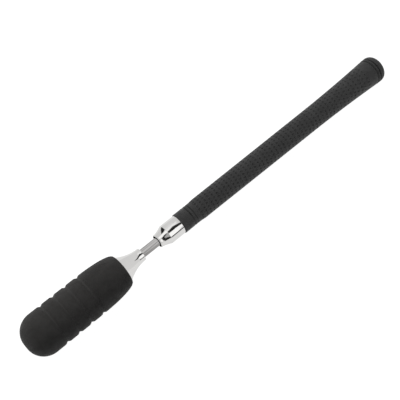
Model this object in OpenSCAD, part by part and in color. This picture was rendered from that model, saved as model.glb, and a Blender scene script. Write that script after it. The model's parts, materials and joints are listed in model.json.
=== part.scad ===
// Telescoping magnetic pickup tool: a golf-type rubber grip on a steel core tube, a chromed ferrule,
// three nested steel tubes, and a magnet head under a ribbed pull-off cover of soft black rubber.
//
// The tool lies along X, head towards -X and butt towards +X, with +Z up. The origin is on the axis,
// halfway along the closed tool. A "station" is a distance along the axis from the grip's mouth,
// positive towards the butt, so every piece ahead of the grip has negative stations.

/* [Grip] */
// Length of the rubber grip with its butt cap
grip_length = 267.6; // [250:0.1:285]
// Diameter of the smooth collar at the grip's mouth
grip_mouth_d = 19.7; // [19.2:0.1:20.2]
// Diameter of the textured body just behind the collar
grip_body_d = 20.7; // [19.8:0.1:22]
// Growth in diameter along the body from its even taper
grip_taper = 2.4; // [1:0.1:4]
// Further growth in diameter from the flare at the butt
grip_flare = 4.8; // [2:0.1:7]
// Length of the butt cap that closes the grip
cap_length = 8; // [6:0.1:8.5]

/* [Handle core] */
// Outer diameter of the steel tube inside the grip
core_d = 15.4; // [15:0.1:16]
// Wall of the core tube
core_wall = 0.9; // [0.7:0.1:1]

/* [Ferrule] */
// Diameter of the ferrule's barrel
ferrule_d = 18.9; // [18.4:0.1:19.6]
// Length of the ferrule's barrel
ferrule_barrel = 15.2; // [14.8:0.1:18]
// Length of the ferrule's cone
ferrule_cone = 9.9; // [9.5:0.1:12]
// Diameter of the ferrule's cone at the nose, under its rolled bead
nose_d = 12.5; // [12.4:0.1:13.5]

/* [Telescoping tubes] */
// Outer diameter of the innermost tube, the one that always shows
inner_tube_d = 8.2; // [8:0.1:8.3]
// Wall of each telescoping tube
tube_wall = 0.4; // [0.3:0.05:0.45]
// Radial gap between one tube and the next, which the sliding clips fill
tube_gap = 0.3; // [0.25:0.05:0.3]
// Travel of the outer and of the middle section
section_travel = 205; // [150:1:215]
// Length of stem that shows between ferrule and head on the closed tool
stem_showing = 18; // [12:0.1:40]

/* [Magnet head] */
// Length of the flared holder
holder_length = 21.7; // [20:0.1:28]
// Diameter of the holder's small end
holder_small_d = 12.3; // [11.2:0.1:13]
// Diameter of the holder's rim and of the magnet barrel
head_d = 26; // [25:0.1:28]
// Length of the magnet barrel beyond the holder's rim
barrel_length = 84; // [70:1:86]
// Thickness of each disc magnet
magnet_thickness = 12; // [6:1:14]

/* [Cover] */
// Length of the pull-off cover
cover_length = 101.2; // [101:0.1:110]
// Diameter of the cover over its ribs
cover_d = 39.1; // [38:0.1:42]
// Radius of the rounding at the cover's closed end
cover_nose_r = 17.5; // [12:0.5:18]
// Distance from the closed end to the first ring groove
groove_first = 28.6; // [26:0.1:32]
// Spacing of the ring grooves
groove_pitch = 12.5; // [10:0.1:13]
// Depth of the ring grooves
groove_depth = 1.2; // [0.6:0.1:1.4]

/* [Hidden] */

fine = 96;               // segments round a full circle
running = 0.05;          // radial clearance of a sliding or turning fit
stop_gap = 0.2;          // gap that is left where two pieces rest against each other
arc_steps = 10;          // chords in a rounded edge

// grip
core_r = core_d / 2;
core_bore_r = core_r - core_wall;
sleeve_end = grip_length - cap_length;
collar_end = 22;         // end of the smooth collar
body_start = 27;         // start of the textured body
body_end = grip_length - 9;
flare_start = 0.62 * grip_length;
grip_edge = 0.8;         // rounding at the grip's mouth
ring_r = 0.4;            // half width of a thin ring groove
collar_rings = [11.7, 15];
butt_ring = grip_length - 11.5;
cap_edge = 5;            // rounding of the cap's outer edge
vent_r = 1.5;            // air vent through the cap and the plug
plug_length = 14;

// ferrule and guide bush
socket_depth = 14.5;     // depth of the ferrule's bore for the core tube and the bush's flange
core_front = -12;
nose_station = -(ferrule_barrel + ferrule_cone);
cone_sag = 0.35;         // hollow of the cone below a straight line
bush_r = 6.6;
bush_front = -20.5;
bead_r = 0.6;            // rounding of the bead at the nose
bead_height = 0.45;      // height of the bead over the cone's small end
nose_recess = 3;         // depth of the counterbore in the nose, in which the tubes' lips lie

// telescoping tubes, radii
inner_r = inner_tube_d / 2;
middle_r = inner_r + tube_gap + tube_wall;
outer_r = middle_r + tube_gap + tube_wall;
waist_depth = 0.3;       // depth of the rolled waist that holds a sliding clip
clip_length = 8;
collar_length = 10;
tail = 1.5;              // tube left behind a clip or collar
lip_width = 0.8;         // thickness of the rolled lip at a tube's front end
lip_height = 0.2;        // height of the rolled lip over the tube
neck_length = 4;         // rolled-in neck that guides the next tube

// telescoping tubes, stations
outer_front = nose_station + nose_recess - stop_gap - lip_width;
middle_front = outer_front - stop_gap - lip_width;
collar_front = core_front + section_travel + stop_gap;
outer_rear = collar_front + collar_length + tail;
middle_clip_front = outer_front + neck_length + section_travel + stop_gap;
middle_rear = middle_clip_front + clip_length + tail;
inner_rear = middle_clip_front - 2 * stop_gap;
inner_clip_front = inner_rear - tail - clip_length;

// head, stations
holder_top = nose_station - stem_showing;
holder_rim = holder_top - holder_length;
tube_socket = 9;         // depth of the holder's bore for the innermost tube
inner_front = holder_top - tube_socket;
web_length = 4.7;        // solid web that the holder screw clamps
web_end = inner_front - web_length;
spigot_length = 8;
spigot_end = holder_rim - spigot_length;
head_r = head_d / 2;
barrel_wall = 1;
barrel_bore_r = head_r - barrel_wall;
barrel_front = holder_rim - barrel_length;
lip_thickness = 1.2;     // inward lip at the barrel's front
face_r = barrel_bore_r - 1.05;
face_proud = 0.3;
face_station = barrel_front - face_proud;
face_thickness = 4;
disc_r = barrel_bore_r - 0.1;
plate_thickness = 3;
screw_r = 2;
screw_head_r = 3.5;
screw_head = 2.6;
screw_reach = 7;         // length of screw in the insert
hex_r = 1.45;            // corner radius of the screw's hexagon socket
insert_length = 10;

// stack of discs inside the barrel, front to back
stack_front = barrel_front + lip_thickness + face_thickness;
pole_front = stack_front + magnet_thickness;
rear_magnet_front = pole_front + plate_thickness;
backing_front = rear_magnet_front + magnet_thickness;
spacer_front = backing_front + plate_thickness;

// cover
cover_gap = 0.2;         // radial gap between the cover and the barrel
cover_rear = holder_rim;
cover_tip = cover_rear - cover_length;
cover_r = cover_d / 2;
cover_bore_r = head_r + cover_gap;
cover_floor = face_station - 3;
cover_lip = 0.3;         // thickness of the cover's mouth
cover_fullness = 2.2;    // exponent of the cover's rear outline: 2 is an ellipse, more is fuller
groove_half = 2.8;       // half width of a ring groove with its rounded shoulders
grooves = [for (i = [0:3]) cover_tip + groove_first + i * groove_pitch];

middle = (cover_tip + grip_length) / 2;

// Point at an angle on an arc, as [station, radius]
function on_arc(centre, r, a) = centre + r * [cos(a), sin(a)];

// Points of an arc from one angle to another
function arc(centre, r, a0, a1) = [for (i = [0:arc_steps]) on_arc(centre, r, a0 + (a1 - a0) * i / arc_steps)];

// Outer radius of the grip at a station
function grip_r(s) =
    let(even = max(0, s - body_start) / (body_end - body_start),
        flare = max(0, s - flare_start) / (body_end - flare_start))
    s <= collar_end ? grip_mouth_d / 2
                    : (grip_body_d + grip_taper * even + grip_flare * pow(flare, 2)) / 2;

// Radius of the ferrule's hollow cone at a fraction of its length from the barrel to the nose
function cone_r(f) = (ferrule_d + (nose_d - ferrule_d) * f) / 2 - cone_sag * 4 * f * (1 - f);

// Radius of the holder's flare at a fraction of its length from the small end to the rim
function flare_r(f) = (holder_small_d + (head_d - holder_small_d) * (0.02 * f + 0.98 * pow(f, 2.1))) / 2;

// Radius of the cover's rear end, a full quarter ellipse from the last groove to the mouth
function cover_rear_r(s) =
    let(mouth_r = cover_bore_r + cover_lip,
        f = (s - grooves[3]) / (cover_rear - grooves[3]))
    mouth_r + (cover_r - mouth_r) * pow(max(0, 1 - pow(f, cover_fullness)), 1 / cover_fullness);

// Points of a ring groove from its rear shoulder over its floor to its front shoulder
function groove(s) = [for (f = [1, 0.6, 0.3, 0.1, 0, -0.1, -0.3, -0.6, -1])
    [s + f * groove_half, cover_r - groove_depth * pow(1 - abs(f), 2)]];

// Solid of revolution about the tool's axis, from an outline of [station, radius] points
module lathe(outline) {
    translate([-middle, 0, 0])
        rotate([0, 90, 0])
            rotate_extrude($fn = fine)
                polygon([for (p = outline) [p[1], p[0]]]);
}

// Round bar between two stations, or a tube if it has a bore
module bar(from, to, r, bore = 0) {
    lathe([[from, bore], [to, bore], [to, r], [from, r]]);
}

// Thin round-bottomed groove round a surface of the given radius
module ring_groove(station, r) {
    translate([station - middle, 0, 0])
        rotate([0, 90, 0])
            rotate_extrude($fn = fine)
                translate([r, 0])
                    circle(r = ring_r, $fn = 24);
}

// Cuts a ring into two half shells with a slot on each side
module split(from, to, r) {
    slot = 0.8;
    difference() {
        children();
        translate([from - middle - 1, -r - 1, -slot / 2])
            cube([to - from + 2, 2 * r + 2, slot]);
    }
}

// Telescoping tube: rolled lip and neck at its front end, plain or waisted at its rear
module section_tube(front, rear, r, neck_r, waist_front, waisted) {
    bore = r - tube_wall;
    waist_end = waist_front + clip_length;
    waist_bore = bore - waist_depth;
    plain_tail = [[rear, bore], [rear, r]];
    waist_tail = [
        [waist_front, bore], [waist_front, waist_bore], [waist_end, waist_bore], [waist_end, bore],
        [rear, bore], [rear, r],
        [waist_end, r], [waist_end, r - waist_depth], [waist_front, r - waist_depth], [waist_front, r]
    ];
    lathe(concat(
        [[front, neck_r], [front + neck_length, neck_r], [front + neck_length, bore]],
        waisted ? waist_tail : plain_tail,
        [[front + lip_width, r], [front + lip_width, r + lip_height], [front, r + lip_height]]));
}

// --- handle ---------------------------------------------------------------------------------

// Rubber sleeve of the grip, with its ring grooves
module grip_sleeve() {
    flare_steps = 12;
    body_steps = 4;
    color([0.11, 0.11, 0.11])
        difference() {
            lathe(concat(
                [[0, core_r]],
                [[sleeve_end, core_r], [sleeve_end, grip_r(body_end) - ring_r]],
                [[sleeve_end - ring_r, grip_r(body_end)], [body_end, grip_r(body_end)]],
                [for (i = [flare_steps - 1:-1:1])
                    let(s = flare_start + (body_end - flare_start) * i / flare_steps) [s, grip_r(s)]],
                [for (i = [body_steps:-1:0])
                    let(s = body_start + (flare_start - body_start) * i / body_steps) [s, grip_r(s)]],
                [[collar_end, grip_mouth_d / 2]],
                arc([grip_edge, grip_mouth_d / 2 - grip_edge], grip_edge, 90, 180)));
            for (s = collar_rings) ring_groove(s, grip_mouth_d / 2);
            ring_groove(butt_ring, grip_r(butt_ring));
        }
}

// Rounded cap that closes the grip, with an air vent
module butt_cap() {
    r = grip_r(body_end);
    color([0.1, 0.1, 0.1])
        lathe(concat(
            [[sleeve_end, vent_r], [grip_length, vent_r]],
            arc([grip_length - cap_edge, r - cap_edge], cap_edge, 0, 90),
            [[sleeve_end + ring_r, r], [sleeve_end, r - ring_r]]));
}

// Steel core tube of the handle
module core_tube() {
    color([0.6, 0.6, 0.62]) bar(core_front, sleeve_end, core_r, core_bore_r);
}

// Nylon plug in the core tube's rear end
module core_end_plug() {
    color([0.85, 0.83, 0.78]) bar(sleeve_end - plug_length, sleeve_end, core_bore_r, vent_r);
}

// Chromed ferrule: barrel, hollow cone, and a beaded nose with a recess for the tubes' lips
module ferrule() {
    cone_steps = 6;
    barrel_edge = 0.3;
    nose_bore = outer_r + 2 * running;
    recess_r = outer_r + lip_height + running;
    recess_end = nose_station + nose_recess;
    color([0.8, 0.8, 0.82])
        lathe(concat(
            [[0, core_r], [-socket_depth, core_r], [-socket_depth, bush_r], [bush_front, bush_r]],
            [[bush_front, nose_bore], [recess_end, nose_bore], [recess_end, recess_r], [nose_station, recess_r]],
            arc([nose_station + bead_r, nose_d / 2 + bead_height - bead_r], bead_r, 180, 40),
            [for (i = [cone_steps - 1:-1:0])
                let(f = i / cone_steps) [-ferrule_barrel - ferrule_cone * f, cone_r(f)]],
            [[-barrel_edge, ferrule_d / 2], [0, ferrule_d / 2 - barrel_edge]]));
}

// Flanged nylon bush that guides the outer tube
module guide_bush() {
    bore = outer_r + running;
    color([0.12, 0.12, 0.12])
        lathe([
            [bush_front, bore], [core_front, bore], [core_front, core_r],
            [-socket_depth, core_r], [-socket_depth, bush_r], [bush_front, bush_r]
        ]);
}

// --- telescoping sections -------------------------------------------------------------------

// Outer tube of the telescope
module outer_tube() {
    color([0.68, 0.68, 0.7])
        section_tube(outer_front, outer_rear, outer_r, middle_r + running, 0, false);
}

// Brass collar pressed on the outer tube, which slides in the core tube and stops at the bush
module outer_collar() {
    color([0.75, 0.6, 0.3])
        bar(collar_front, collar_front + collar_length, core_bore_r - running, outer_r);
}

// Middle tube of the telescope
module middle_tube() {
    color([0.68, 0.68, 0.7])
        section_tube(middle_front, middle_rear, middle_r, inner_r + running, middle_clip_front, true);
}

// Two brass half shells in the middle tube's waist, which rub in the outer tube
module middle_clip() {
    r = outer_r - tube_wall - running;
    color([0.75, 0.6, 0.3])
        split(middle_clip_front, middle_clip_front + clip_length, r)
            bar(middle_clip_front, middle_clip_front + clip_length, r, middle_r - waist_depth);
}

// Two brass half shells that rub in the middle tube, and in which the innermost tube turns
module inner_clip() {
    r = middle_r - tube_wall - running;
    play = 0.05;
    color([0.75, 0.6, 0.3])
        split(inner_clip_front, inner_clip_front + clip_length, r)
            bar(inner_clip_front + play, inner_clip_front + clip_length - play, r,
                inner_r - waist_depth + running);
}

// Innermost tube, whose front end shows as the stem
module inner_tube() {
    bore = inner_r - tube_wall;
    waist_r = inner_r - waist_depth;
    waist_end = inner_clip_front + clip_length;
    color([0.68, 0.68, 0.7])
        lathe([
            [inner_front, bore], [inner_clip_front, bore], [inner_clip_front, bore - waist_depth],
            [waist_end, bore - waist_depth], [waist_end, bore], [inner_rear, bore], [inner_rear, inner_r],
            [waist_end, inner_r], [waist_end, waist_r], [inner_clip_front, waist_r],
            [inner_clip_front, inner_r], [inner_front, inner_r]
        ]);
}

// --- magnet head ----------------------------------------------------------------------------

// Brass insert in the innermost tube, tapped for the holder screw
module tube_insert() {
    color([0.75, 0.6, 0.3]) bar(inner_front, inner_front + insert_length, inner_r - tube_wall, screw_r);
}

// Cap screw that clamps the holder to the tube's insert
module holder_screw() {
    head_front = web_end - screw_head;
    color([0.3, 0.3, 0.32])
        difference() {
            union() {
                bar(web_end, inner_front + screw_reach, screw_r);
                bar(head_front, web_end, screw_head_r);
            }
            translate([head_front - middle - 1, 0, 0])
                rotate([0, 90, 0])
                    cylinder(r = hex_r, h = screw_head / 2 + 1, $fn = 6);
        }
}

// Chromed holder: flares from the stem to the rim, with a hollow spigot for the barrel
module magnet_holder() {
    flare_steps = 16;
    edge = 0.4;
    hollow_r = 9;
    color([0.8, 0.8, 0.82])
        lathe(concat(
            [[holder_top, inner_r], [inner_front, inner_r], [inner_front, screw_r], [web_end, screw_r]],
            [[web_end, screw_head_r + 0.5], [web_end - screw_head - 1, screw_head_r + 0.5]],
            [[holder_rim, hollow_r], [spigot_end, hollow_r], [spigot_end, barrel_bore_r]],
            [[holder_rim, barrel_bore_r], [holder_rim, head_r]],
            [for (i = [flare_steps - 1:-1:1])
                let(f = i / flare_steps) [holder_top - holder_length * f, flare_r(f)]],
            [[holder_top - edge, flare_r(0)], [holder_top, flare_r(0) - edge]]));
}

// Stainless barrel round the magnets, with an inward lip at its front
module magnet_barrel() {
    edge = 0.5;
    color([0.72, 0.72, 0.74])
        lathe([
            [holder_rim, barrel_bore_r], [barrel_front + lip_thickness, barrel_bore_r],
            [barrel_front + lip_thickness, face_r], [barrel_front, face_r],
            [barrel_front, head_r - edge], [barrel_front + edge, head_r], [holder_rim, head_r]
        ]);
}

// Nylon spacer between the holder's spigot and the magnets
module spacer_tube() {
    wall = 1.4;
    color([0.85, 0.83, 0.78]) bar(spacer_front, spigot_end, disc_r, disc_r - wall);
}

// Soft steel disc behind the magnets
module backing_disc() {
    color([0.55, 0.55, 0.57]) bar(backing_front, spacer_front, disc_r);
}

// Rear disc magnet, nickel-plated
module rear_magnet() {
    color([0.7, 0.69, 0.66]) bar(rear_magnet_front, backing_front, disc_r);
}

// Soft steel disc between the magnets
module pole_disc() {
    color([0.55, 0.55, 0.57]) bar(pole_front, rear_magnet_front, disc_r);
}

// Front disc magnet, nickel-plated
module front_magnet() {
    color([0.7, 0.69, 0.66]) bar(stack_front, pole_front, disc_r);
}

// Stepped steel face that shows through the barrel's lip: the tool's working face
module face_disc() {
    shoulder = barrel_front + lip_thickness;
    color([0.7, 0.7, 0.72])
        lathe([
            [face_station, 0], [stack_front, 0], [stack_front, disc_r],
            [shoulder, disc_r], [shoulder, face_r], [face_station, face_r]
        ]);
}

// Ribbed pull-off cover, closed at its front end
module cover() {
    rear_steps = 12;
    color([0.12, 0.12, 0.12])
        lathe(concat(
            [[cover_floor, 0], [cover_floor, cover_bore_r], [cover_rear, cover_bore_r]],
            [for (i = [rear_steps:-1:1])
                let(f = sin(90 * i / rear_steps), s = grooves[3] + (cover_rear - grooves[3]) * f)
                if (s > grooves[3] + groove_half) [s, cover_rear_r(s)]],
            [for (i = [3:-1:0]) each groove(grooves[i])],
            arc([cover_tip + cover_nose_r, cover_r - cover_nose_r], cover_nose_r, 90, 180),
            [[cover_tip, 0]]));
}

grip_sleeve();
butt_cap();
core_tube();
core_end_plug();
ferrule();
guide_bush();
outer_tube();
outer_collar();
middle_tube();
middle_clip();
inner_clip();
inner_tube();
tube_insert();
holder_screw();
magnet_holder();
magnet_barrel();
spacer_tube();
backing_disc();
rear_magnet();
pole_disc();
front_magnet();
face_disc();
cover();
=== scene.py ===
"""Looks of the telescoping magnetic pickup tool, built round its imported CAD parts.

The tool lies along X, head towards -X. Outlines of turned pieces are lists of (x, radius) points in
millimetres, measured along the axis from the middle of the closed tool, and every mesh is made in metres.
"""
import json
import math

import bmesh
import bpy
import numpy as np
from mathutils import Matrix, Vector


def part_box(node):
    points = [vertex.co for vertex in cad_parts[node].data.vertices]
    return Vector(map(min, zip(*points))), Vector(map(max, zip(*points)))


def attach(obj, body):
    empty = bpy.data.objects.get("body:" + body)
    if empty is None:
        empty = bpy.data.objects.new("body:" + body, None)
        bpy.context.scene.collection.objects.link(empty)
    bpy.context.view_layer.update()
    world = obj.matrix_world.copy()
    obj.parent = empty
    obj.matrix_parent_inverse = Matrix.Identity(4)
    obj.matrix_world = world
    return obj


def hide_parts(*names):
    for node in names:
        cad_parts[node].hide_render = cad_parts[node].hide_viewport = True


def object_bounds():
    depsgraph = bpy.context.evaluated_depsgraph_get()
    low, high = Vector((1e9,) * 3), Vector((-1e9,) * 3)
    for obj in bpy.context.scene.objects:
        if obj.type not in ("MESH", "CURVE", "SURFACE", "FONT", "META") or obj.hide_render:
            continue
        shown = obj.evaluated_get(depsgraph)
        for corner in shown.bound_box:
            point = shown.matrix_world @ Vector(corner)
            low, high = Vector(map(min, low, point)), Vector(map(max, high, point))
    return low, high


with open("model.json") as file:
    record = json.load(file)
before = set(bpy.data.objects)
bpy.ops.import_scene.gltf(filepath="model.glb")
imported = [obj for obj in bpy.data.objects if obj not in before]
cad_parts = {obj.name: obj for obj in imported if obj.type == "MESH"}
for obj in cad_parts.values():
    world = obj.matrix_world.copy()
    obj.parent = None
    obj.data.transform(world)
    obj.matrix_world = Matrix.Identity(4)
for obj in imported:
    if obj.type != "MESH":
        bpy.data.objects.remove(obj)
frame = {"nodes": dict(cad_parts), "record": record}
cad_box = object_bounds()
MM = 0.001
scene = bpy.context.scene


# --- meshes ---------------------------------------------------------------------------------------

def ends(node):
    """Front and rear x of a CAD node, in millimetres."""
    low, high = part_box(node)
    return low.x / MM, high.x / MM


def radius(node):
    """Largest radius of a CAD node, in millimetres."""
    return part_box(node)[1].z / MM


def filleted(points, steps=6):
    """Outline with some corners rounded: a point is (x, r), or (x, r, rounding)."""
    out = []
    for i, point in enumerate(points):
        if len(point) == 2 or point[2] == 0:
            out.append((point[0], point[1]))
            continue
        here = Vector(point[:2])
        before = (Vector(points[i - 1][:2]) - here).normalized()
        after = (Vector(points[(i + 1) % len(points)][:2]) - here).normalized()
        half = before.angle(after) / 2
        reach = point[2] / math.tan(half)
        centre = here + (before + after).normalized() * point[2] / math.sin(half)
        start, stop = here + before * reach - centre, here + after * reach - centre
        turn = start.angle_signed(stop)
        for k in range(steps + 1):
            a = -turn * k / steps
            out.append((centre.x + start.x * math.cos(a) - start.y * math.sin(a),
                        centre.y + start.x * math.sin(a) + start.y * math.cos(a)))
    return out


def shown(mesh, name, body, nodes, material, sharp=40):
    """Puts a mesh in the scene as a piece that rides on a body and stands for CAD nodes."""
    piece = bpy.data.objects.new(name, mesh)
    scene.collection.objects.link(piece)
    mesh.shade_smooth()
    mesh.set_sharp_from_angle(angle=math.radians(sharp))
    mesh.materials.append(material)
    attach(piece, body)
    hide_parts(*nodes)
    return piece


def turned(outline, segments=144):
    """Mesh of revolution about the tool's axis, from a closed outline."""
    bm = bmesh.new()
    rings = []
    for x, r in outline:
        if r < 1e-6:
            rings.append([bm.verts.new((x * MM, 0, 0))])
            continue
        angles = (2 * math.pi * k / segments for k in range(segments))
        rings.append([bm.verts.new((x * MM, r * MM * math.cos(a), r * MM * math.sin(a))) for a in angles])
    for i, ring in enumerate(rings):
        other = rings[(i + 1) % len(rings)]
        for k in range(segments):
            n = (k + 1) % segments
            if len(ring) > 1 and len(other) > 1:
                bm.faces.new((ring[k], ring[n], other[n], other[k]))
            elif len(ring) > 1:
                bm.faces.new((ring[k], ring[n], other[0]))
            elif len(other) > 1:
                bm.faces.new((ring[0], other[n], other[k]))
    bmesh.ops.recalc_face_normals(bm, faces=bm.faces)
    mesh = bpy.data.meshes.new("turned")
    bm.to_mesh(mesh)
    bm.free()
    return mesh


# --- materials ------------------------------------------------------------------------------------

def node(tree, kind, inputs=(), **settings):
    """Adds a shader node, with its inputs set to values or linked to other nodes' outputs."""
    made = tree.nodes.new("ShaderNode" + kind)
    for key, value in settings.items():
        setattr(made, key, value)
    for key, value in dict(inputs).items():
        if isinstance(value, bpy.types.NodeSocket):
            tree.links.new(value, made.inputs[key])
        else:
            made.inputs[key].default_value = value
    return made


def ranged(tree, source, low, high, start=0.3, stop=0.7):
    """Maps a noise output from start..stop to low..high."""
    return node(tree, "MapRange", {
        "Value": source, "From Min": start, "From Max": stop, "To Min": low, "To Max": high,
    }).outputs["Result"]


class Finish:
    """A procedural material: mottled colour, uneven roughness, and layers of bump."""

    def __init__(self, name, **constants):
        self.material = bpy.data.materials.new(name)
        self.material.use_nodes = True
        self.tree = self.material.node_tree
        self.shader = self.tree.nodes["Principled BSDF"]
        for key, value in constants.items():
            self.shader.inputs[key.replace("_", " ")].default_value = value
        self.place = node(self.tree, "TexCoord").outputs["Object"]
        self.normal = None

    def noise(self, scale, detail=3.0, stretch=(1, 1, 1), rough=0.55, shift=0.0):
        """Noise with about scale features to the metre, drawn out along the axes whose stretch is small."""
        place = node(self.tree, "Mapping", {
            "Vector": self.place, "Scale": stretch, "Location": (0, shift, 0),
        }).outputs["Vector"]
        return node(self.tree, "TexNoise", {
            "Vector": place, "Scale": scale, "Detail": detail, "Roughness": rough,
        }).outputs["Fac"]

    def colour(self, source, dark, light, start=0.3, stop=0.7):
        """Mixes two colours by a source. Either may be another colour's output."""
        ramp = node(self.tree, "MapRange", {"Value": source, "From Min": start, "From Max": stop})
        mix = node(self.tree, "Mix", data_type="RGBA")
        self.tree.links.new(ramp.outputs["Result"], mix.inputs["Factor"])
        for key, value in (("A", dark), ("B", light)):
            socket = next(s for s in mix.inputs if s.name == key and s.type == "RGBA")
            if isinstance(value, bpy.types.NodeSocket):
                self.tree.links.new(value, socket)
            else:
                socket.default_value = (*value, 1)
        out = next(s for s in mix.outputs if s.type == "RGBA")
        self.tree.links.new(out, self.shader.inputs["Base Color"])
        return out

    def roughness(self, source, low, high, start=0.3, stop=0.7):
        """Sets the roughness by a source. Either end may be another node's output."""
        out = ranged(self.tree, source, low, high, start, stop)
        self.tree.links.new(out, self.shader.inputs["Roughness"])

    def bump(self, source, distance):
        """Adds a layer of bump, with its height in millimetres."""
        inputs = {"Height": source, "Distance": distance * MM}
        if self.normal:
            inputs["Normal"] = self.normal
        self.normal = node(self.tree, "Bump", inputs).outputs["Normal"]
        self.tree.links.new(self.normal, self.shader.inputs["Normal"])


BORE_SHADE_EDGE = 0.12      # width of the change from the painted shade in the bore to bright plating


def chrome(name, bore):
    """Bright plating, with painted shade in the bore: dark and dull within the bore radius."""
    inner, outer = bore * MM, (bore + BORE_SHADE_EDGE) * MM
    f = Finish(name, Metallic=1.0)
    plated = f.colour(f.noise(90, 4), (0.582, 0.577, 0.567), (0.626, 0.62, 0.611))
    across = node(f.tree, "VectorMath", {0: f.place, 1: (0, 1, 1)}, operation="MULTIPLY").outputs["Vector"]
    from_axis = node(f.tree, "VectorMath", {0: across}, operation="LENGTH").outputs["Value"]
    # Painted shade: the bore radius is coloured dark, blending to the plating over the edge width.
    f.colour(from_axis, (0.05, 0.048, 0.045), plated, inner, outer)
    polished = ranged(f.tree, f.noise(700, 5, stretch=(3, 1, 1)), 0.03, 0.08)
    f.roughness(from_axis, 0.5, polished, inner, outer)
    f.bump(f.noise(160, 2), 0.008)
    f.bump(f.noise(2600, 2), 0.0004)
    return f.material


def drawn_steel():
    """Steel tube with lengthwise streaks in its colour, partly the marks of drawing and partly painted
    reflection streaks.
    """
    f = Finish("drawn_stainless", Metallic=1.0)
    lines = f.noise(640, 2, stretch=(0.02, 1, 1), shift=0.004)
    # The streaks are drawing marks and also painted reflections: lighter and darker bands along the tube.
    f.colour(lines, (0.235, 0.229, 0.225), (0.50, 0.492, 0.486), 0.42, 0.58)
    f.roughness(f.noise(900, 3, stretch=(0.03, 1, 1)), 0.06, 0.12)
    f.bump(f.noise(1500, 3, stretch=(0.02, 1, 1)), 0.0015)
    return f.material


def turned_metal(name, dark, light, low, high, metallic=1.0):
    """Metal with fine turning marks round the axis."""
    f = Finish(name, Metallic=metallic)
    marks = f.noise(1800, 3, stretch=(1, 0.03, 0.03))
    f.colour(f.noise(140, 4), dark, light)
    f.roughness(marks, low, high)
    f.bump(marks, 0.004)
    f.bump(f.noise(500, 3), 0.003)
    return f.material


def moulded(name, dark, light, low, high, **constants):
    """Moulded plastic or rubber with a fine grain."""
    f = Finish(name, **constants)
    f.colour(f.noise(110, 5), dark, light)
    f.roughness(f.noise(320, 4), low, high)
    f.bump(f.noise(1400, 3), 0.01)
    f.bump(f.noise(60, 2), 0.03)
    return f.material


def cover_rubber():
    """Matt foamed rubber, with painted light on the floors of its grooves, which makes them a little paler.
    """
    f = Finish("soft_foam_rubber", Specular_IOR_Level=0.2)
    plain = f.colour(f.noise(45, 6, rough=0.65), (0.0155, 0.015, 0.0145), (0.0245, 0.0238, 0.023))
    hollow = node(f.tree, "Attribute", attribute_name="hollow").outputs["Fac"]
    # Painted light: the groove floors are coloured paler by their depth.
    f.colour(hollow, plain, (0.0268, 0.0261, 0.0252), 0.2, 1)
    f.roughness(f.noise(200, 4), 0.66, 0.85)
    f.bump(f.noise(55, 4), 0.12)
    f.bump(f.noise(420, 4), 0.05)
    f.bump(f.noise(2200, 3), 0.02)
    return f.material


def grip_rubber():
    """Moulded rubber, with painted shade that makes its dimples and ring grooves darker."""
    f = Finish("moulded_grip_rubber", Specular_IOR_Level=0.4)
    plain = f.colour(f.noise(70, 5), (0.0112, 0.0112, 0.0113), (0.0184, 0.0184, 0.0184))
    hollow = node(f.tree, "Attribute", attribute_name="hollow").outputs["Fac"]
    # Painted shade: the dimples and ring grooves are coloured darker by their depth.
    f.colour(hollow, plain, (0.003, 0.003, 0.003), 0.1, 1)
    f.roughness(f.noise(260, 4), 0.5, 0.72)
    f.bump(f.noise(350, 3), 0.02)
    f.bump(f.noise(1900, 3), 0.015)
    return f.material


MATERIALS = {
    "grip_rubber": grip_rubber(),
    "cover_rubber": cover_rubber(),
    "chrome": chrome("chrome_plate", 0),
    "stainless": drawn_steel(),
    "barrel_steel": turned_metal("barrel_steel", (0.54, 0.535, 0.53), (0.64, 0.635, 0.63), 0.14, 0.26),
    "plain_steel": turned_metal("turned_steel", (0.42, 0.42, 0.43), (0.58, 0.575, 0.57), 0.25, 0.45),
    "nickel_magnet": turned_metal("nickel_plate", (0.60, 0.57, 0.52), (0.70, 0.67, 0.61), 0.12, 0.3),
    "black_steel": turned_metal(
        "black_oxide_steel", (0.02, 0.02, 0.022), (0.045, 0.043, 0.042), 0.32, 0.5, metallic=0.5),
    "brass": turned_metal("turned_brass", (0.58, 0.40, 0.15), (0.74, 0.55, 0.26), 0.2, 0.38),
    "natural_nylon": moulded("natural_nylon", (0.62, 0.58, 0.48), (0.76, 0.72, 0.62), 0.4, 0.55),
    "black_nylon": moulded("black_nylon", (0.012, 0.012, 0.013), (0.022, 0.022, 0.023), 0.38, 0.52),
}

slots = {row["node"]: row["material_slot"] for row in frame["record"]["subparts"]}
for name, obj in frame["nodes"].items():
    obj.data.materials.clear()
    obj.data.materials.append(MATERIALS[slots[name]])
    obj.data.shade_smooth()
    obj.data.set_sharp_from_angle(angle=math.radians(35))


# --- ferrule --------------------------------------------------------------------------------------

nose, mouth = ends("ferrule")
BARREL = 15.2            # length of the barrel
CONE = mouth - BARREL - nose
CONE_SAG = 1.4           # four times the hollow of the cone below a straight line
CONE_STEPS = 16
FERRULE_R = radius("ferrule")
NOSE_R = 6.25
CORE_R = radius("core_tube")
BUSH_R = 6.6             # radius of the bush behind the nose
LIP = 0.2                # height of the rolled lips at the tubes' front ends
OUTER_R = radius("outer_tube") - LIP
NOSE_BORE = OUTER_R + 0.1
RECESS_R = OUTER_R + 0.25
recess_end = nose + 3
BEAD_R = 0.6             # rounding of the rolled bead at the nose
BEAD_TOP = NOSE_R + 0.45
bush_front = mouth - 20.5
socket = mouth - 14.5


def cone_r(f):
    """Radius of the hollow cone at a fraction of its length from the barrel to the nose."""
    return FERRULE_R + (NOSE_R - FERRULE_R) * f - CONE_SAG * f * (1 - f)


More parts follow.
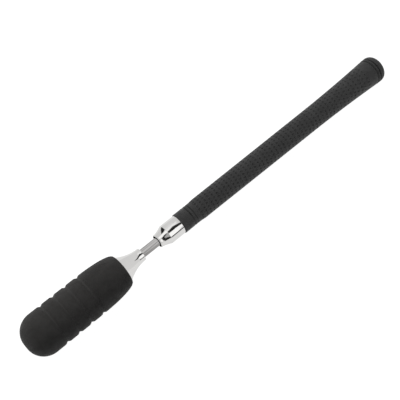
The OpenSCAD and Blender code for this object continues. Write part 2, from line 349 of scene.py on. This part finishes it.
# The last steps of the cone are left to the bead.
cone = [(mouth - BARREL - CONE * f, cone_r(f)) for f in (k / CONE_STEPS for k in range(1, CONE_STEPS - 2))]
bead = [(nose + BEAD_R - BEAD_R * math.cos(a), BEAD_TOP - BEAD_R + BEAD_R * math.sin(a))
        for a in (math.radians(20 * k) for k in range(8))]
outline = filleted([
    (mouth, CORE_R, 0.15), (socket, CORE_R), (socket, BUSH_R), (bush_front, BUSH_R), (bush_front, NOSE_BORE),
    (recess_end, NOSE_BORE), (recess_end, RECESS_R), (nose, RECESS_R, 0.12), *bead, *reversed(cone),
    (mouth - BARREL, FERRULE_R, 1.2), (mouth, FERRULE_R, 0.35),
])
# The ferrule's recess gets the chrome's painted shade, out to the recess radius.
shown(turned(outline), "ferrule_shell", "handle", ["ferrule"], chrome("ferrule_chrome", RECESS_R))


# --- holder ---------------------------------------------------------------------------------------

spigot, top = ends("magnet_holder")
HEAD_R = radius("magnet_barrel")
rim = ends("magnet_barrel")[1]
TOP_R = 6.15             # radius of the small end
INNER_R = radius("inner_tube")
SPIGOT_R = HEAD_R - 1
HOLLOW_R = 9             # radius of the hollow behind the magnets
SCREW_R = 2
SCREW_HEAD = 2.6         # height of the screw's head
SCREW_WELL_R = 4         # radius of the well that the screw's head lies in
FLARE_STEPS = 28
inner_front = ends("inner_tube")[0]
web_end = ends("holder_screw")[0] + SCREW_HEAD


def flare_r(f):
    """Radius of the flare at a fraction of its length from the small end to the rim."""
    return TOP_R + (HEAD_R - TOP_R) * (0.02 * f + 0.98 * f ** 2.1)


flare = [(top + (rim - top) * f, flare_r(f)) for f in (k / FLARE_STEPS for k in range(1, FLARE_STEPS))]
outline = filleted([
    (top, INNER_R, 0.15), (inner_front, INNER_R), (inner_front, SCREW_R), (web_end, SCREW_R),
    (web_end, SCREW_WELL_R), (web_end - SCREW_HEAD - 1, SCREW_WELL_R), (rim, HOLLOW_R),
    (spigot, HOLLOW_R, 0.2), (spigot, SPIGOT_R, 0.2), (rim, SPIGOT_R), (rim, HEAD_R, 0.2),
    *reversed(flare), (top, TOP_R, 0.4),
])
shown(turned(outline), "holder_trumpet", "head", ["magnet_holder"], MATERIALS["chrome"])


# --- tubes and magnet barrel ----------------------------------------------------------------------

WALL = 0.4
WAIST = 0.3              # depth of the waist that holds a clip
NECK = 4                 # length of the rolled-in neck at a tube's front
NECK_SLOPE = 0.5         # length of the neck's change to the full bore
LIP_WIDTH = 0.8
RUNNING = 0.05           # clearance of a sliding or turning fit


def tube(node, body, r, neck_r=None, clip=None):
    """Thin tube with a rolled neck and lip in front, and a waist where a clip sits."""
    front, rear = ends(node)
    bore = r - WALL
    if neck_r:
        inside = [(front, neck_r, 0.1), (front + NECK - NECK_SLOPE, neck_r), (front + NECK, bore)]
        outside = [(front + LIP_WIDTH, r), (front + LIP_WIDTH, r + LIP, 0.08), (front, r + LIP, 0.12)]
    else:
        inside, outside = [(front, bore, 0.12)], [(front, r, 0.12)]
    if clip:
        start, stop = ends(clip)[0] - RUNNING, ends(clip)[1] + RUNNING
        inside += [(start, bore), (start, bore - WAIST), (stop, bore - WAIST), (stop, bore)]
        outside = [(stop, r), (stop, r - WAIST), (start, r - WAIST), (start, r), *outside]
    outline = filleted([*inside, (rear, bore, 0.12), (rear, r, 0.12), *outside])
    shown(turned(outline), node + "_drawn", body, [node], MATERIALS["stainless"])


MIDDLE_R = radius("middle_tube") - LIP
tube("outer_tube", "outer_section", OUTER_R, MIDDLE_R + RUNNING)
tube("middle_tube", "middle_section", MIDDLE_R, INNER_R + RUNNING, "middle_clip")
tube("inner_tube", "head", INNER_R, clip="inner_clip")

barrel_front = ends("magnet_barrel")[0]
FRONT_LIP = 1.2          # thickness of the barrel's inward lip
shoulder = barrel_front + FRONT_LIP
face, stack = ends("face_disc")
DISC_R = radius("face_disc")
FACE_R = SPIGOT_R - 1.05
outline = filleted([
    (rim, SPIGOT_R), (shoulder, SPIGOT_R), (shoulder, FACE_R), (barrel_front, FACE_R, 0.15),
    (barrel_front, HEAD_R, 0.6), (rim, HEAD_R, 0.15),
])
shown(turned(outline), "barrel_shell", "head", ["magnet_barrel"], MATERIALS["barrel_steel"])
outline = filleted([
    (face, 0), (stack, 0), (stack, DISC_R, 0.2), (shoulder, DISC_R), (shoulder, FACE_R), (face, FACE_R, 0.2),
])
shown(turned(outline), "magnet_face_disc", "head", ["face_disc"], MATERIALS["plain_steel"])


# --- grip -----------------------------------------------------------------------------------------

sleeve_end = ends("grip_sleeve")[1]
BODY_START, BODY_END, FLARE_START = mouth + 27, mouth + 258.6, mouth + 166
BODY_D, BODY_TAPER, BODY_FLARE = 20.7, 2.4, 4.8
MOUTH_R = 9.85
STEP_START, STEP_LENGTH, STEP_HEIGHT = mouth + 18, 7, 0.5   # rise from the smooth collar to the body
COLLAR_RINGS = (11.7, 15)                                   # distances of the ring grooves from the mouth
MOUTH_ROUND = 0.8
COLLAR_LENGTH = 17
CELLS = 20               # dimples round the grip
COLUMNS = 48
ARC_STEPS, SIDE_STEPS = 4, 5
DIMPLE_R, DIMPLE_DEPTH = 1.05, 0.68
DIMPLE_SHADE = 0.6       # how dark the painted shade in a dimple is, next to that in a ring groove
DIMPLE_RINGS = ((1.0, 0.0), (0.84, 0.3), (0.5, 0.85))   # share of the radius, share of the depth
FIRST_COLUMN, FIRST_PITCH, PITCH_GROWTH = mouth + 21, 4.4, 0.0133
BUTT_RING = mouth + 256.1
BUTT_RING_WIDTH, BUTT_RING_DEPTH = 1.1, 1.2
JOINT_DEPTH = 1.3        # depth of the groove at the joint of grip and cap


def grip_r(x):
    """Radius of the grip's skin at x."""
    if x < BODY_START:
        f = min(1, max(0, (x - STEP_START) / STEP_LENGTH))
        return MOUTH_R + STEP_HEIGHT * f * f * (3 - 2 * f)
    even = (x - BODY_START) / (BODY_END - BODY_START)
    flare = max(0, x - FLARE_START) / (BODY_END - FLARE_START)
    return (BODY_D + BODY_TAPER * min(1, even) + BODY_FLARE * min(1, flare) ** 2) / 2


class Skin:
    """Mesh built from rings round the tool's axis, with a value at each vertex for how deep it lies, which
    the material turns into painted shade.
    """

    def __init__(self):
        self.verts, self.faces, self.depths = [], [], []

    def put(self, x, angle, r, depth=0.0):
        """Adds a vertex and gives back its number."""
        self.verts.append((x * MM, r * MM * math.cos(angle), r * MM * math.sin(angle)))
        self.depths.append(depth)
        return len(self.verts) - 1

    def ring(self, x, r, count, depth=0.0):
        """Adds a ring of vertices round the axis."""
        return [self.put(x, 2 * math.pi * k / count, r, depth) for k in range(count)]

    def band(self, a, b):
        """Joins two rings of the same count."""
        for k in range(len(a)):
            n = (k + 1) % len(a)
            self.faces.append((a[k], a[n], b[n], b[k]))

    def doubling(self, a, b):
        """Joins a ring to one with twice its vertices."""
        for k in range(len(a)):
            n, m = (k + 1) % len(a), (2 * k + 2) % len(b)
            half = b[2 * k + 1]
            self.faces += [(a[k], half, b[2 * k]), (a[k], a[n], half), (a[n], b[m], half)]

    def through(self, rings):
        """Joins each ring to the next."""
        for a, b in zip(rings, rings[1:]):
            self.band(a, b)

    def dimpled(self, left, right, x_left, x_right, odd):
        """A column of dimples between two rings. Odd columns are turned by half a dimple."""
        shift = ARC_STEPS // 2 if odd else 0
        turn = 2 * math.pi / (CELLS * ARC_STEPS)
        sides = []
        for j in range(CELLS):
            angle = (j * ARC_STEPS + shift) * turn
            xs = [x_left + (x_right - x_left) * k / SIDE_STEPS for k in range(1, SIDE_STEPS)]
            sides.append([self.put(x, angle, grip_r(x)) for x in xs])
        middle = (x_left + x_right) / 2
        r = grip_r(middle)
        for j in range(CELLS):
            at = [(j * ARC_STEPS + shift + k) % len(left) for k in range(ARC_STEPS + 1)]
            loop = [left[k] for k in at] + sides[(j + 1) % CELLS]
            loop += [right[k] for k in reversed(at)] + sides[j][::-1]
            centre = (j * ARC_STEPS + shift + ARC_STEPS / 2) * turn
            half = len(loop) / 2
            start = math.pi + (ARC_STEPS / 2) * math.pi / half
            # Each ring of the dimple carries painted shade by its share of the depth.
            for share, depth in DIMPLE_RINGS:
                circle = []
                for k in range(len(loop)):
                    a = start - k * math.pi / half
                    dx, dv = DIMPLE_R * share * math.cos(a), DIMPLE_R * share * math.sin(a)
                    floor_r = grip_r(middle + dx) - DIMPLE_DEPTH * depth
                    circle.append(self.put(middle + dx, centre + dv / r, floor_r, depth * DIMPLE_SHADE))
                self.band(loop, circle)
                loop = circle
            tip = self.put(middle, centre, r - DIMPLE_DEPTH, DIMPLE_SHADE)
            self.faces += [(loop[k], loop[(k + 1) % len(loop)], tip) for k in range(len(loop))]

    def mesh(self, name):
        """Gives the finished mesh, with its depths in the attribute from which the material paints shade."""
        mesh = bpy.data.meshes.new(name)
        mesh.from_pydata(self.verts, [], self.faces)
        values = mesh.attributes.new("hollow", "FLOAT", "POINT")
        values.data.foreach_set("value", self.depths)
        bm = bmesh.new()
        bm.from_mesh(mesh)
        bmesh.ops.recalc_face_normals(bm, faces=bm.faces)
        bm.to_mesh(mesh)
        bm.free()
        return mesh


def ring_cut(centre, width=0.65, depth=0.6):
    """Section of a thin ring groove: x, the cut into the surface, and how much painted shade it gets."""
    half = ((0.4, 0.93), (0.75, 0.6), (1.0, 0.12), (1.3, 0))
    shape = [(-a, d) for a, d in reversed(half)] + [(0, 1)] + list(half)
    return [(centre + width * a, depth * d, d) for a, d in shape]


skin = Skin()
FINE = CELLS * ARC_STEPS * 2
edges_x = [FIRST_COLUMN - FIRST_PITCH / 2]
for k in range(COLUMNS):
    edges_x.append(edges_x[-1] + FIRST_PITCH + PITCH_GROWTH * k)
front = [skin.ring(mouth, CORE_R, FINE), skin.ring(mouth, MOUTH_R - MOUTH_ROUND, FINE)]
for k in range(1, 8):
    a = math.pi / 2 * k / 7
    x = mouth + MOUTH_ROUND * (1 - math.cos(a))
    front.append(skin.ring(x, MOUTH_R - MOUTH_ROUND * (1 - math.sin(a)), FINE))
# The collar's ring grooves carry painted shade.
for groove in COLLAR_RINGS:
    front += [skin.ring(x, MOUTH_R - d, FINE, h) for x, d, h in ring_cut(mouth + groove)]
front.append(skin.ring(mouth + COLLAR_LENGTH, MOUTH_R, FINE))
skin.through(front)
edges = [skin.ring(x, grip_r(x), CELLS * ARC_STEPS) for x in edges_x]
skin.doubling(edges[0], front[-1])
for k in range(COLUMNS):
    skin.dimpled(edges[k], edges[k + 1], edges_x[k], edges_x[k + 1], k % 2)
plain = BUTT_RING - 1.9 - edges_x[-1]
rear = [skin.ring(x, grip_r(x), FINE) for x in (edges_x[-1] + plain * k / 6 for k in range(1, 7))]
# The butt ring and the joint groove before the cap carry painted shade.
cut = ring_cut(BUTT_RING, BUTT_RING_WIDTH, BUTT_RING_DEPTH)
rear += [skin.ring(x, grip_r(x) - d, FINE, h) for x, d, h in cut]
END_R = grip_r(BODY_END)
rear += [skin.ring(sleeve_end - back, END_R - cut, FINE, hollow) for back, cut, hollow in (
    (1.2, 0, 0), (0.9, 0.1, 0.2), (0.6, 0.8, 0.9), (0, JOINT_DEPTH, 1))]
rear += [skin.ring(sleeve_end, CORE_R, FINE), front[0]]
skin.doubling(edges[-1], rear[0])
skin.through(rear)
shown(skin.mesh("grip"), "moulded_grip", "handle", ["grip_sleeve"],
      MATERIALS["grip_rubber"], sharp=50)

butt = ends("butt_cap")[1]
VENT_R = 1.5
CAP_ROUND = 5
outline = filleted([
    (sleeve_end, VENT_R), (butt, VENT_R, 0.3), (butt, END_R, CAP_ROUND), (sleeve_end + 0.9, END_R, 0.3),
    (sleeve_end, END_R - JOINT_DEPTH),
], 12)
cap_rubber = moulded(
    "grip_cap_rubber", (0.0122, 0.0122, 0.0123), (0.019, 0.019, 0.019), 0.5, 0.7, Specular_IOR_Level=0.4)
shown(turned(outline, FINE), "grip_cap", "handle", ["butt_cap"], cap_rubber, sharp=50)


# --- cover ----------------------------------------------------------------------------------------

tip, cover_rear = ends("cover")
COVER_R = radius("cover")
NOSE_ROUND = 17.5
FIRST_GROOVE, GROOVE_PITCH = tip + 28.6, 12.5
GROOVES = [FIRST_GROOVE + GROOVE_PITCH * k for k in range(4)]
GROOVE_DEPTH = 1.2
GROOVE_HALF = 2.8
FLOOR_SOFTNESS = 0.35    # share of a groove's half width over which its floor is round
FULLNESS = 2.2           # power of the superellipse behind the last groove
BORE_R = HEAD_R + 0.2
MOUTH_LIP = 0.3
floor_x = ends("face_disc")[0] - 3


def groove_cut(x):
    """Depth of the ring grooves at x, with rounded shoulders and a soft floor."""
    for g in GROOVES:
        d = abs(x - g) / GROOVE_HALF
        if d < 1:
            rise = math.hypot(d, FLOOR_SOFTNESS) - FLOOR_SOFTNESS
            full_rise = math.hypot(1, FLOOR_SOFTNESS) - FLOOR_SOFTNESS
            return GROOVE_DEPTH * (1 - rise / full_rise) ** 2
    return 0.0


def cover_r(x):
    """Outer radius of the cover at x: round nose, grooved middle, full round rear."""
    from_tip = x - tip
    if from_tip < NOSE_ROUND:
        return COVER_R - NOSE_ROUND + math.sqrt(max(0, NOSE_ROUND ** 2 - (NOSE_ROUND - from_tip) ** 2))
    if x <= GROOVES[3]:
        return COVER_R - groove_cut(x)
    f = (x - GROOVES[3]) / (cover_rear - GROOVES[3])
    end = BORE_R + MOUTH_LIP
    return end + (COVER_R - end) * max(0, 1 - f ** FULLNESS) ** (1 / FULLNESS) - groove_cut(x)


nose_xs = [tip + NOSE_ROUND * (1 - math.cos(math.pi / 2 * k / 26)) for k in range(27)]
rear_start = GROOVES[3] + 4
body_xs = list(np.arange(tip + NOSE_ROUND + 0.6, rear_start, 0.55))
rear_xs = [rear_start + (cover_rear - rear_start) * math.sin(math.pi / 2 * k / 34) for k in range(1, 35)]
outside = [(tip, 0)] + [(x, cover_r(x)) for x in nose_xs + body_xs + rear_xs]
outline = outside + [(cover_rear, BORE_R), (floor_x, BORE_R), (floor_x, 0)]
cover_mesh = turned(outline, 160)
# Groove depths, from which the cover's material paints light on the groove floors.
hollow = cover_mesh.attributes.new("hollow", "FLOAT", "POINT")
hollow.data.foreach_set("value", [groove_cut(v.co.x / MM) / GROOVE_DEPTH for v in cover_mesh.vertices])
cover = shown(cover_mesh, "foam_cover", "cover", ["cover"],
              MATERIALS["cover_rubber"], sharp=60)


# --- camera ---------------------------------------------------------------------------------------

forward = Vector((0.3297, 0.3600, -0.8728)).normalized()
level = Vector((0.7375, -0.6753, 0)).normalized()
roll = math.radians(0.2)
right = level * math.cos(roll) + level.cross(forward) * math.sin(roll)
up = right.cross(forward)
target = Vector((-20.7, 0, 0)) * MM
DISTANCE = 0.625
ASIDE, ABOVE = -3.33 * MM, 4.17 * MM     # framing: the camera's step off the line to the target
camera = bpy.data.objects.new("camera", bpy.data.cameras.new("camera"))
scene.collection.objects.link(camera)
camera.data.sensor_width = 36
camera.data.lens = 62.1
camera.data.clip_start = 0.01
place = target - forward * DISTANCE + right * ASIDE + up * ABOVE
camera.matrix_world = Matrix((
    (right.x, up.x, -forward.x, place.x),
    (right.y, up.y, -forward.y, place.y),
    (right.z, up.z, -forward.z, place.z),
    (0, 0, 0, 1),
))
scene.camera = camera


# --- studio ---------------------------------------------------------------------------------------

def plane(name, centre, across, along, size):
    """Rectangle with a centre, two directions and a size, in metres."""
    u, v = Vector(across).normalized() * size[0] / 2, Vector(along).normalized() * size[1] / 2
    mesh = bpy.data.meshes.new(name)
    c = Vector(centre)
    mesh.from_pydata([c - u - v, c + u - v, c + u + v, c - u + v], [], [(0, 1, 2, 3)])
    made = bpy.data.objects.new(name, mesh)
    scene.collection.objects.link(made)
    return made


floor = plane("floor", (0, 0, cad_box[0].z), (1, 0, 0), (0, 1, 0), (30, 30))
paper = Finish("light_table", Roughness=0.9, Specular_IOR_Level=0.1, Emission_Strength=1.0)
paper.colour(paper.noise(3, 2), (0.09, 0.09, 0.09), (0.11, 0.11, 0.11))
paper.shader.inputs["Emission Color"].default_value = (1, 1, 1, 1)
floor.data.materials.append(paper.material)

world = bpy.data.worlds.new("studio")
scene.world = world
world.use_nodes = True
world.node_tree.nodes["Background"].inputs["Color"].default_value = (1, 1, 1, 1)
world.node_tree.nodes["Background"].inputs["Strength"].default_value = 1.0
world.cycles_visibility.diffuse = False


def glowing(name, strength):
    """Plain material that only gives off light."""
    made = bpy.data.materials.new(name)
    made.use_nodes = True
    shader = made.node_tree.nodes["Principled BSDF"]
    shader.inputs["Base Color"].default_value = (0, 0, 0, 1)
    shader.inputs["Specular IOR Level"].default_value = 0
    shader.inputs["Emission Color"].default_value = (1, 1, 1, 1)
    shader.inputs["Emission Strength"].default_value = strength
    return made


HERE = Vector((-0.065, 0, 0))            # the ferrule, whose reflections the cards are laid out for
CARD_FAR = 0.6           # distance of the cards from the tool's axis
CARD_STEPS = 6


def towards(side, angle, far):
    """Point of the studio seen from the ferrule: side slants towards +X, and angle turns from +Y over +Z."""
    a = math.radians(angle)
    return HERE + Vector((side, math.cos(a), math.sin(a))) * far


def card(name, material, rows, far=CARD_FAR):
    """Curved card that shows only in the metal's reflections, from rows of (side, low angle, high angle)."""
    corners = [towards(side, low + (high - low) * k / CARD_STEPS, far)
               for side, low, high in rows for k in range(CARD_STEPS + 1)]
    step = CARD_STEPS + 1
    faces = [(i * step + k, i * step + k + 1, (i + 1) * step + k + 1, (i + 1) * step + k)
             for i in range(len(rows) - 1) for k in range(CARD_STEPS)]
    mesh = bpy.data.meshes.new(name)
    mesh.from_pydata(corners, [], faces)
    made = bpy.data.objects.new(name, mesh)
    scene.collection.objects.link(made)
    made.data.materials.append(material)
    made.visible_camera = made.visible_diffuse = made.visible_shadow = made.visible_transmission = False


black = glowing("black_card", 0.03)
white = glowing("bright_panel", 1.52)
soft = glowing("soft_panel", 1.28)
faint = glowing("faint_panel", 1.1)
grey = glowing("grey_card", 0.6)
card("overhead_card", black, (
    (0.22, 99, 118), (0.275, 94, 120.5), (0.30, 90, 121.5), (0.33, 86, 121), (0.36, 89, 119.5),
    (0.40, 95, 120.5), (0.45, 101, 124), (0.50, 107, 130), (0.55, 112, 132), (0.62, 117, 134),
    (0.70, 121, 133), (0.9, 125, 128)))
card("side_panel", white, ((0.2, 123, 167), (0.36, 121, 167), (0.42, 125, 152), (0.52, 134, 146)), 0.62)
card("low_card", black, ((0.2, 166.5, 178), (0.46, 166.5, 178)))
card("soft_panel", soft, ((0.2, 72, 96), (0.34, 66, 96), (0.42, 62, 84)), 0.62)
card("faint_panel", faint, ((0.2, 48, 72), (0.36, 48, 72)), 0.63)
card("far_card", black, (
    (-0.53, 49, 56), (-0.48, 42, 64), (-0.42, 34, 67), (-0.36, 22, 66), (-0.33, 15, 56),
    (-0.30, 10, 32), (-0.25, 1, 12), (-0.21, -4, -1)))
card("overhead_panel", white, (
    (-0.65, 78, 96), (-0.60, 72, 100), (-0.45, 73, 99), (-0.35, 73, 104), (-0.12, 73, 103)), 0.62)
card("near_panel", white, ((-0.25, 126, 152), (-0.22, 121, 164), (-0.12, 121, 160)), 0.62)
card("near_card_top", black, (
    (-0.62, 103, 107), (-0.52, 102, 116), (-0.44, 102, 120), (-0.38, 108, 120), (-0.27, 115, 120)))
card("near_card_side", black, (
    (-0.41, 118, 124), (-0.39, 118, 150), (-0.35, 118, 178), (-0.29, 118, 178), (-0.26, 140, 178)), 0.602)
card("near_card_low", black, (
    (-0.57, 156, 166), (-0.50, 153, 178), (-0.45, 144, 178), (-0.34, 152, 178)), 0.604)
card("near_card_middle", grey, ((-0.66, 106, 140), (-0.55, 106, 160), (-0.36, 106, 160)), 0.63)


def softbox(name, place, aim, size, power):
    """Area light that doesn't show in reflections, aimed at a point."""
    lamp = bpy.data.objects.new(name, bpy.data.lights.new(name, "AREA"))
    scene.collection.objects.link(lamp)
    lamp.data.shape = "RECTANGLE"
    lamp.data.size, lamp.data.size_y = size
    lamp.data.energy = power
    lamp.location = place
    lamp.rotation_euler = (Vector(aim) - Vector(place)).to_track_quat("-Z", "Y").to_euler()
    lamp.visible_glossy = False


softbox("key", (-0.2, 0.78, 1.3), (0, 0, 0), (0.7, 0.7), 32)

scene.view_settings.view_transform = "Standard"
